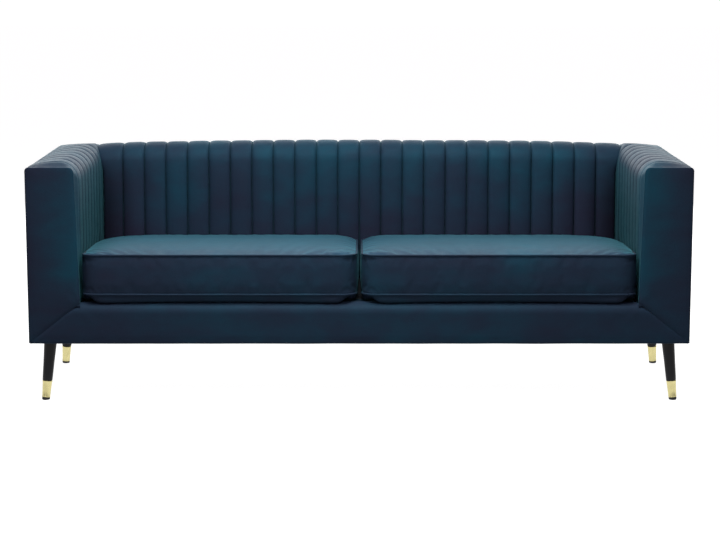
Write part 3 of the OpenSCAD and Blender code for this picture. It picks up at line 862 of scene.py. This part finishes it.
def crown_height(flat, half, edge):
    """How far the top of a cushion swells over its seams, slowly from the arm and the rear."""
    def rise(distance, reach):
        return 1 - (1 - np.clip(distance / reach, 0, 1)) ** 2.6

    front_gap, rear_gap = flat[:, 1] + half[1], half[1] - flat[:, 1]
    middle_gap, arm_gap = flat[:, 0] + half[0], half[0] - flat[:, 0]
    crown = 0.0135 * rise(middle_gap, 0.055) ** 0.6 * rise(arm_gap, 0.20) ** 0.6
    crown *= rise(front_gap, 0.075) ** 0.7 * rise(rear_gap, 0.15) ** 0.7 * rise(edge, 0.04) ** 0.5
    return crown


def cushion_shape(side, fullness):
    """Points of a cushion over the deck, its quads, and the vertex numbers of its two seams."""
    counts = (100, 66, 20)
    cells, faces = box_grid(counts)
    x0, x1 = CUSHION_GAP, CUSHION_SIDE_X + 0.0115
    y0, y1 = 0.0030, CUSHION_REAR
    half = np.array([(x1 - x0) / 2, (y1 - y0) / 2])
    middle = np.array([(x1 + x0) / 2, (y1 + y0) / 2])
    flat = crowded(cells[:, :2] / np.array(counts[:2]) * 2 - 1) * half
    core = np.clip(flat, -(half - CUSHION_PLAN_R), half - CUSHION_PLAN_R)
    out = flat - core
    longest = np.abs(out).max(1)
    length = np.maximum(np.linalg.norm(out, axis=1), 1e-9)
    plan = core + out / length[:, None] * longest[:, None]

    level = cells[:, 2] / counts[2]
    height = LOWER_WELT_Z + (UPPER_WELT_Z - LOWER_WELT_Z) * level
    edge = np.maximum((half - np.abs(flat)).min(1), 0)

    front_gap = flat[:, 1] + half[1]
    crown = crown_height(flat, half, edge)
    near_corner = smooth(np.abs(flat), half - 0.07, half).min(1)
    reach = 0.020 + 0.040 * near_corner
    belly = (LOWER_WELT_Z - 0.0006) * (1 - (1 - np.clip(edge / reach, 0, 1)) ** 4)
    bulge = 0.0125 * np.sin(np.pi * np.clip(edge / (0.6 * reach), 0, 1)) * (1 - near_corner)
    belly = belly + droop(front_gap) * (1 - near_corner) * smooth(edge, 0, 0.008)
    on_top = cells[:, 2] == counts[2]
    below = cells[:, 2] == 0
    height = height + np.where(on_top, crown * fullness, 0) - np.where(below, belly, 0)
    swell = 0.0035 * np.sin(np.pi * level) * fullness
    outward = out / length[:, None]
    between = ~on_top & ~below
    plan = plan + np.where(between[:, None], outward * swell[:, None], 0)
    plan = plan + np.where(below[:, None], outward * bulge[:, None], 0)

    # The seams sink a little towards the rear corners, where the filling is weakest
    rear = smooth(plan[:, 1], 0.0, half[1])
    to_arm = smooth(plan[:, 0], half[0] - 0.22, half[0])
    to_middle = smooth(-plan[:, 0], half[0] - 0.05, half[0])
    to_side = np.maximum(to_arm, to_middle)
    sink = (0.004 * rear + 0.007 * rear * to_side) * smooth(level, 0.3, 1.0)
    points = np.column_stack([side * (plan[:, 0] + middle[0]), plan[:, 1] + middle[1], height - sink])
    on_seam = edge <= 1e-9
    return points, faces, np.flatnonzero(on_seam & on_top), np.flatnonzero(on_seam & below)


def ring_order(points, numbers, side):
    """Vertex numbers of a seam in order round the cushion."""
    ring = points[numbers]
    middle = (ring.min(0) + ring.max(0)) / 2
    angle = np.arctan2((ring[:, 1] - middle[1]) / 0.29, (ring[:, 0] - middle[0]) / 0.435 * side)
    return numbers[np.argsort(angle)]


def inflate(piece, pinned, pressure, cap):
    """Swells a piece with Cloth and air pressure while its pinned vertices stay put."""
    group = piece.vertex_groups.new(name="seams")
    group.add([int(i) for i in pinned], 1.0, "REPLACE")
    cloth = piece.modifiers.new("cloth", "CLOTH")
    wanted = {
        "quality": 6, "mass": 0.3, "tension_stiffness": 12, "compression_stiffness": 12,
        "shear_stiffness": 5, "bending_stiffness": 1.2, "air_damping": 2, "shrink_min": -0.012,
        "vertex_group_mass": group.name, "use_pressure": True, "uniform_pressure_force": pressure,
    }
    for setting, value in wanted.items():
        setattr(cloth.settings, setting, value)
    cloth.settings.effector_weights.gravity = 0
    cloth.collision_settings.use_collision = False
    scene = bpy.context.scene
    before = np.array([v.co for v in piece.data.vertices])
    cloth.point_cache.frame_start, cloth.point_cache.frame_end = 1, 24
    for step in range(1, 21):
        scene.frame_set(step)
    found = piece.evaluated_get(bpy.context.evaluated_depsgraph_get())
    after = np.array([v.co for v in found.data.vertices])
    piece.modifiers.remove(cloth)
    scene.frame_set(1)
    move = after - before
    size = np.linalg.norm(move, axis=1, keepdims=True)
    move *= cap / np.maximum(size + cap, 1e-9)
    piece.data.vertices.foreach_set("co", (before + move).ravel())
    piece.data.update()
    piece.vertex_groups.clear()


def seat_cushion(side, name):
    """A boxed seat cushion: pressure swells the cover between its two welted seams."""
    body = f"cushion_{name}"
    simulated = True
    points, faces, upper, lower = cushion_shape(side, 0.55 if simulated else 1.0)
    rings = [ring_order(points, numbers, side) for numbers in (upper, lower)]
    piece = add_mesh(f"seat_cushion_{name}", points, faces, VELVET, body, sharp=180)
    if simulated:
        inflate(piece, np.concatenate([upper, lower]), 4.0, 0.026)
    local = np.array([v.co for v in piece.data.vertices])
    local[:, 0] = side * np.clip(side * local[:, 0], 0.0025, ARM_X - 0.0015)
    local[:, 1] = np.clip(local[:, 1], -0.003, CUSHION_REAR)
    local[:, 2] = np.maximum(local[:, 2], 0.0006 - droop(local[:, 1] - 0.003))
    local[:, 2] += 0.0006 * rough(local, 0.12, 81 + side) * (local[:, 2] > UPPER_WELT_Z + 0.002)
    piece.data.vertices.foreach_set("co", from_deck(local).ravel())
    piece.data.update()
    piece.data.materials.append(PAINTED_LIGHT_SEAT_VELVET)
    # Faces above the upper seam take the lighter copy of the velvet: painted light on the cushion tops.
    upper_level = points[upper][:, 2].min() - 0.001
    for face in piece.data.polygons:
        face.material_index = int(points[list(face.vertices)][:, 2].min() > upper_level)
    smoother = piece.modifiers.new("rounding", "SUBSURF")
    smoother.levels = 1
    smoother.render_levels = 1
    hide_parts(f"cushion_cover_{name}", f"cushion_core_{name}")
    for part, ring in zip(("upper", "lower"), rings):
        welt(f"{part}_welt_{name}", local[ring], side, body, name)
    zip_fastener(side, name, body)


def welt(piece_name, ring, side, body, name):
    """The covered cord sewn into a cushion seam, with the slight unevenness of its bias strip."""
    middle = (ring.min(0) + ring.max(0)) / 2
    offset = ring - middle
    offset[:, 2] = 0
    outward = offset / np.linalg.norm(offset, axis=1, keepdims=True)
    tangent = np.roll(ring, -1, 0) - np.roll(ring, 1, 0)
    across = np.stack([tangent[:, 1], -tangent[:, 0], 0 * tangent[:, 0]], -1)
    across /= np.linalg.norm(across, axis=1, keepdims=True)
    across *= np.sign((across * outward).sum(1, keepdims=True))
    path = ring + across * 0.0008
    path[:, 0] = side * np.clip(side * path[:, 0], 0.0004 + WELT_R, ARM_X - 0.0025 - WELT_R)
    uneven = WELT_R * (1 + 0.05 * rough(path, 0.02, 91))
    path[:, 2] += 0.0005 * rough(path, 0.09, 93)
    piece = tube(piece_name, from_deck(path), uneven, VELVET, body)
    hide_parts(f"cushion_welts_{name}")


def zip_fastener(side, name, body):
    """The zip in the rear boxing: tape, coil and a slider with its pull."""
    rear = CUSHION_REAR
    low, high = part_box(f"zip_{name}")
    centre = to_deck((low + high) / 2)
    half_length = (high.x - low.x) / 2
    middle_x = (high.x + low.x) / 2
    z = centre[2]
    steps = np.linspace(-1, 1, 90) * half_length + middle_x
    strip_h = 0.0055
    profile = np.array([(-strip_h, 0.0), (-strip_h * 0.9, 0.0005), (-0.0022, 0.0007), (0.0022, 0.0007),
                        (strip_h * 0.9, 0.0005), (strip_h, 0.0)])
    outer = swept(steps, profile[:, ::-1] + (rear, z))
    inner = outer.copy()
    inner[..., 1] = rear - 0.0010
    tape = pad(f"zip_tape_{name}", from_deck(outer), from_deck(inner), MATERIALS["zip_tape"], body)
    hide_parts(f"zip_{name}")

    turns = 240
    coil_t = np.arange(turns * 6) / 6
    coil = np.stack([middle_x - half_length + 0.006 + (2 * half_length - 0.012) * coil_t / turns,
                     rear + 0.0013 + 0.0004 * np.cos(coil_t * 2 * math.pi),
                     z + 0.0016 * np.sin(coil_t * 2 * math.pi)], -1)
    teeth = tube(f"zip_coil_{name}", from_deck(coil), 0.0004, MATERIALS["zip_tape"], body, 6, closed=False)

    slider_low, slider_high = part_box(f"zip_slider_{name}")
    slider = to_deck((slider_low + slider_high) / 2)
    zip_slider(side, name, slider, rear, z, min(slider_high.x, 1) - slider_low.x)


def zip_slider(side, name, slider, rear, z, length):
    """A pressed slider body with a bridge, and a pull tab hanging along the tape."""
    start = slider[0] - side * length / 2
    angle = np.linspace(0, 2 * math.pi, 28, endpoint=False)

    def plate(centre_x, centre_y, half_x, half_z, thick):
        ring = np.stack([np.sign(np.cos(angle)) * np.abs(np.cos(angle)) ** 0.5 * half_x,
                         np.sign(np.sin(angle)) * np.abs(np.sin(angle)) ** 0.5 * half_z], -1)
        layers = []
        for depth, scale in ((0, 0.9), (0.15, 1.0), (0.85, 1.0), (1, 0.9)):
            layers.append(np.stack([centre_x + ring[:, 0] * scale, 0 * angle + centre_y + thick * depth,
                                    z + ring[:, 1] * scale], -1))
        points = np.concatenate(layers)
        return points, ring_faces(4, len(angle))

    parts = [plate(start + side * 0.0055, rear + 0.0012, 0.0054, 0.0044, 0.0013),
             plate(start + side * 0.0050, rear + 0.0022, 0.0030, 0.0012, 0.0016),
             plate(start + side * 0.0165, rear + 0.0034, 0.0085, 0.0028, 0.0009)]
    points, faces = [], []
    for part_points, part_faces in parts:
        faces += [[i + len(points) for i in face] for face in part_faces]
        points += from_deck(part_points).tolist()
    piece = add_mesh(f"zip_pull_{name}", points, faces, MATERIALS["clip_steel"], f"zip_pull_{name}")
    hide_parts(f"zip_slider_{name}")


# ---------- deck, dust cover and legs ----------


def seat_platform():
    """The deck under the cushions: a velvet strip along the front and platform cloth behind it."""
    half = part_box("seat_deck")[1].x - 0.001
    strip_end, deck_end = 0.12, 0.651

    def layer(name, material, start, end, seed):
        x = np.linspace(-half, half, 150)
        y = start + (end - start) * (spread(int((end - start) / 0.008)) + 1) / 2
        distance = np.minimum(y - start, end - y)[:, None] + 0 * x
        z = -0.0003 - 0.0022 * np.exp(-distance / 0.004)
        spring_dip = 0.0015 * np.cos(x * 2 * math.pi / 0.155)[None, :] * np.clip(distance / 0.05, 0, 1)
        flat = np.stack([x[None, :] + 0 * z, y[:, None] + 0 * z, z], -1)
        puffs = 0.0004 * rough(flat, 0.08, seed) * np.clip(distance / 0.03, 0, 1)
        flat[..., 2] += -0.0015 + spring_dip * 0.9 + puffs
        flat[..., 2] = np.minimum(flat[..., 2], -0.0002)
        under = flat.copy()
        under[..., 2] = -0.008
        piece = pad(name, from_deck(flat), from_deck(under), material, "frame", 50)
        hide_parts("seat_deck")
        return piece

    strip = layer("deck_front_strip", VELVET, 0.0330, strip_end, 101)
    platform = layer("seat_platform", MATERIALS["deck_cloth"], strip_end, deck_end, 103)


def leg_ends(row, name):
    """Foot and top centre of a leg: the record's mount, and the high end of the leg's box."""
    mounts = {m["name"]: Vector(m["pos_m"]) for m in frame["record"]["mounts"]}
    foot = mounts[f"foot_{row}_{name}"]
    low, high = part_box(f"leg_{row}_{name}")
    top_r = 0.0195
    side = 1 if foot.x > 0 else -1
    top_x = side * (min(abs(low.x), abs(high.x)) + top_r)
    top_y = high.y - top_r if row == "front" else low.y + top_r
    return foot, Vector((top_x, top_y, high.z))


def legs():
    """Four turned, lacquered legs with brass ferrules and black glides."""
    brass_top, glide_top = 0.061, 0.008
    ferrule_profile = [
        (glide_top, 0.0122), (glide_top + 0.0004, 0.0132), (0.0098, 0.0136), (0.0112, 0.0133),
        (0.0120, 0.0131), (0.030, 0.0139), (0.050, 0.0150), (0.0572, 0.0155), (0.0580, 0.0160),
        (0.0598, 0.0164), (brass_top - 0.0004, 0.0162), (brass_top, 0.0153)]
    glide_profile = [(0.0, 0.0112), (0.0007, 0.0121), (0.0018, 0.0127), (0.0065, 0.0128),
                     (glide_top - 0.0001, 0.0124)]
    for row in ("front", "rear"):
        for _, name in SIDES:
            foot, top = leg_ends(row, name)
            leg_profile = [(0.0615, 0.0148), (0.0617, 0.0154), (0.0628, 0.0160), (0.085, 0.0168),
                           (0.12, 0.0178), (0.16, 0.0195), (top.z - 0.001, 0.0207), (top.z, 0.0207)]
            leg = lathe(f"leg_{row}_{name}_turned", foot, top, leg_profile,
                        MATERIALS["leg_lacquer"], "frame", high_z=top.z)
            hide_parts(f"leg_{row}_{name}")
            ferrule = lathe(f"ferrule_{row}_{name}_turned", foot, top, ferrule_profile,
                            MATERIALS["brass"], "frame")
            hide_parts(f"ferrule_{row}_{name}")
            glide = lathe(f"glide_{row}_{name}", foot, top, glide_profile,
                          MATERIALS["glide"], "frame", low_z=0.0)
            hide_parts("glides")


def clear_of_plates(cell_x, cell_y):
    """True for each cell of the dust cover that isn't in an opening round a leg plate."""
    kept = np.ones((len(cell_y), len(cell_x)), bool)
    for row in ("front", "rear"):
        for _, name in SIDES:
            plate = leg_ends(row, name)[1]
            near_x = np.abs(cell_x - plate.x) < PLATE_GAP
            near_y = np.abs(cell_y - plate.y) < PLATE_GAP
            kept &= ~(near_x[None, :] & near_y[:, None])
    return kept


def dust_cover():
    """The black cloth under the frame, open round the leg plates and sagging between the rails."""
    low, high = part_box("dust_cover")
    x = np.linspace(low.x, high.x, 211)
    y = np.linspace(low.y, high.y, 79)
    grid = np.stack(np.meshgrid(x, y), -1)
    between_rails = np.sin(np.clip((y - low.y) / (high.y - low.y), 0, 1) * math.pi)[:, None]
    sag = between_rails * (0.5 + 0.5 * np.abs(np.sin(x * math.pi / 0.45)))[None, :]
    wrinkle = rough(np.concatenate([grid, 0 * grid[..., :1]], -1), 0.05, 111)
    hang = 0.0020 * sag + 0.0004 * np.abs(wrinkle) * np.minimum(1, sag * 3)
    top = np.concatenate([grid, (high.z - 0.0002 - hang)[..., None]], -1)
    bottom = top - np.array([0, 0, 0.0008])
    kept = clear_of_plates((x[:-1] + x[1:]) / 2, (y[:-1] + y[1:]) / 2)
    index = np.arange(len(x) * len(y)).reshape(len(y), len(x))
    count = index.size
    corners = grid_faces(index)[kept.ravel()]
    edges = {(a, b): True for quad in corners for a, b in zip(quad, np.roll(quad, -1))}
    rim = [(a, b, b + count, a + count) for a, b in edges if (b, a) not in edges]
    faces = corners.tolist() + (corners[:, ::-1] + count).tolist() + rim
    points = np.concatenate([top.reshape(-1, 3), bottom.reshape(-1, 3)])
    used = np.unique(np.array(faces))
    renumber = np.zeros(len(points), int)
    renumber[used] = np.arange(len(used))
    piece = add_mesh("dust_cloth", points[used], renumber[np.array(faces)],
                     MATERIALS["dust_cloth"], "frame")
    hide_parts("dust_cover")


def finish_cad_nodes():
    """Procedural materials on every CAD node that still shows."""
    slots = {part["node"]: part["material_slot"] for part in frame["record"]["subparts"]}
    for name, node in frame["nodes"].items():
        if node.hide_render:
            continue
        low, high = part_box(name)
        longest = max(range(3), key=lambda axis: high[axis] - low[axis])
        slot = slots[name]
        material = TIMBER[longest] if slot == "frame_wood" else MATERIALS[slot]
        node.data.materials.clear()
        node.data.materials.append(material)


# ---------- stage ----------


def by_ray(tree, seen, mirrored, lighting, output):
    """Shows one shader to the camera, another in reflections, and lights the sofa with the third."""
    ray = tree.nodes.new("ShaderNodeLightPath")
    under = lighting
    for kind, shown in (("Is Glossy Ray", mirrored), ("Is Camera Ray", seen)):
        both = tree.nodes.new("ShaderNodeMixShader")
        tree.links.new(ray.outputs[kind], both.inputs[0])
        tree.links.new(under.outputs[0], both.inputs[1])
        tree.links.new(shown.outputs[0], both.inputs[2])
        under = both
    tree.links.new(under.outputs[0], output.inputs["Surface"])


def stage():
    """A floor that is plain white to the camera, lights the sofa dimly, and is clear from below."""
    shader = Shader("floor")
    tone = shader.ramp(shader.noise(1.5), [(0.3, (0.29, 0.29, 0.29)), (0.7, (0.32, 0.32, 0.32))])
    shader.set(shader.surface, Base_Color=tone, Roughness=0.9, Specular_IOR_Level=0.1)
    glow = shader.add("ShaderNodeEmission", Strength=0.95)
    lit = shader.add("ShaderNodeAddShader", i0=glow.outputs[0], i1=shader.surface.outputs[0])
    clear = shader.add("ShaderNodeBsdfTransparent")
    from_below = shader.add("ShaderNodeNewGeometry").outputs["Backfacing"]
    top_seen = shader.add("ShaderNodeMixShader", i0=from_below, i1=lit.outputs[0], i2=clear.outputs[0])
    output = next(n for n in shader.nodes if n.bl_idname == "ShaderNodeOutputMaterial")
    by_ray(shader.material.node_tree, top_seen, glow, shader.surface, output)
    bpy.ops.mesh.primitive_plane_add(size=60, location=(0, 0, -0.0002))
    floor = bpy.context.object
    floor.name = "floor"
    floor.data.materials.append(shader.material)


def surroundings():
    """White to the camera, grey in reflections, and a dim light for the sofa."""
    world = bpy.data.worlds.new("studio")
    world.use_nodes = True
    tree = world.node_tree
    dim = tree.nodes["Background"]
    dim.inputs["Color"].default_value = (1.0, 0.70, 0.85, 1)
    dim.inputs["Strength"].default_value = 0.13
    white, grey = (tree.nodes.new("ShaderNodeBackground") for _ in range(2))
    white.inputs["Color"].default_value = grey.inputs["Color"].default_value = (1, 1, 1, 1)
    white.inputs["Strength"].default_value = 1.05
    grey.inputs["Strength"].default_value = 0.45
    by_ray(tree, white, grey, dim, tree.nodes["World Output"])
    bpy.context.scene.world = world


def softbox(name, place, aim, size, power, colour=(1, 1, 1)):
    """A rectangular light that the camera doesn't see."""
    light = bpy.data.lights.new(name, "AREA")
    light.shape = "RECTANGLE"
    light.size, light.size_y = size
    light.energy = power
    light.color = colour
    holder = bpy.data.objects.new(name, light)
    holder.location = place
    holder.rotation_euler = (Vector(aim) - Vector(place)).to_track_quat("-Z", "Y").to_euler()
    holder.visible_camera = False
    bpy.context.scene.collection.objects.link(holder)


def lights():
    """Large soft lights, the brightest above the middle, and one behind for the grazing gloss."""
    softbox("key", (-0.15, -1.2, 3.1), (-0.05, 0.1, 0.5), (1.8, 1.2), 125, (0.90, 1, 1))
    softbox("front", (-1.6, -4.6, 1.7), (0, 0, 0.4), (2.6, 1.6), 12, (1, 0.94, 0.96))
    softbox("middle", (-0.1, -1.5, 1.4), (-0.05, 0.3, 0.6), (0.5, 0.4), 4.5, (1, 0.96, 0.98))
    softbox("backdrop", (0, 3.6, 2.3), (0, 0, 0.9), (7.0, 4.4), 320)


def camera():
    """A long lens at standing height, looking a little down at the sofa."""
    data = bpy.data.cameras.new("camera")
    data.sensor_width = 36
    data.lens = 97.75
    holder = bpy.data.objects.new("camera", data)
    holder.location = (0.0023, FRONT_Y - 6.15, 1.45)
    holder.rotation_euler = (math.radians(90 - 9.41), 0, 0)
    bpy.context.scene.collection.objects.link(holder)
    bpy.context.scene.camera = holder
    bpy.context.scene.view_settings.view_transform = "Standard"


camera()
inside_back()
for arm_side, arm_name in SIDES:
    inside_arm(arm_side, arm_name)
    arm_front_panel(arm_side, arm_name)
    seat_cushion(arm_side, arm_name)
front_border()
outside_panels()
seat_platform()
dust_cover()
legs()
finish_cad_nodes()
stage()
surroundings()
lights()
